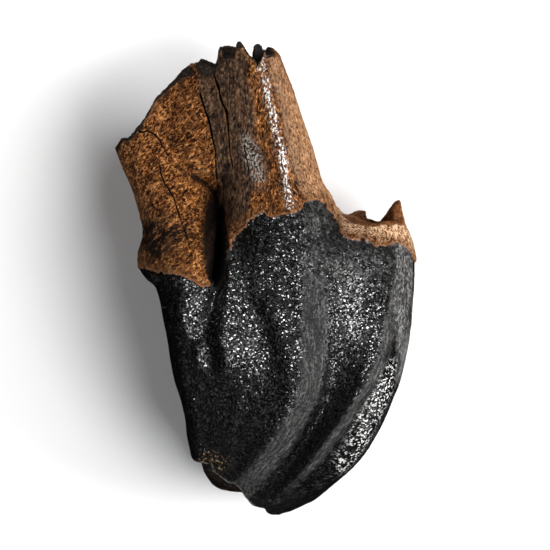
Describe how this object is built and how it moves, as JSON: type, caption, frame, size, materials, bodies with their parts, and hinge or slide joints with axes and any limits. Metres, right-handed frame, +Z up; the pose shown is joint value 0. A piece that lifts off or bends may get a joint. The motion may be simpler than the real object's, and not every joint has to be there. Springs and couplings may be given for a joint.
{
  "type": "fossil woolly rhino tooth",
  "caption": "Fossil upper cheek tooth of a woolly rhinoceros with a ridged black crown and broken brown roots, lying on its side.",
  "frame": {"origin": "under the middle of the tooth's bounding box, on the surface the tooth lies on", "axes": "+Z up, out of the cheek face; +Y from the worn end of the crown to the root tips; +X across the crown"},
  "size_m": [0.0609, 0.097, 0.0468],
  "materials": {
    "tooth": "glossy wrinkled black enamel on the crown, semi-matte brown cementum on the roots"
  },
  "bodies": {
    "root": {"tooth": "tooth"}
  },
  "joints": []
}
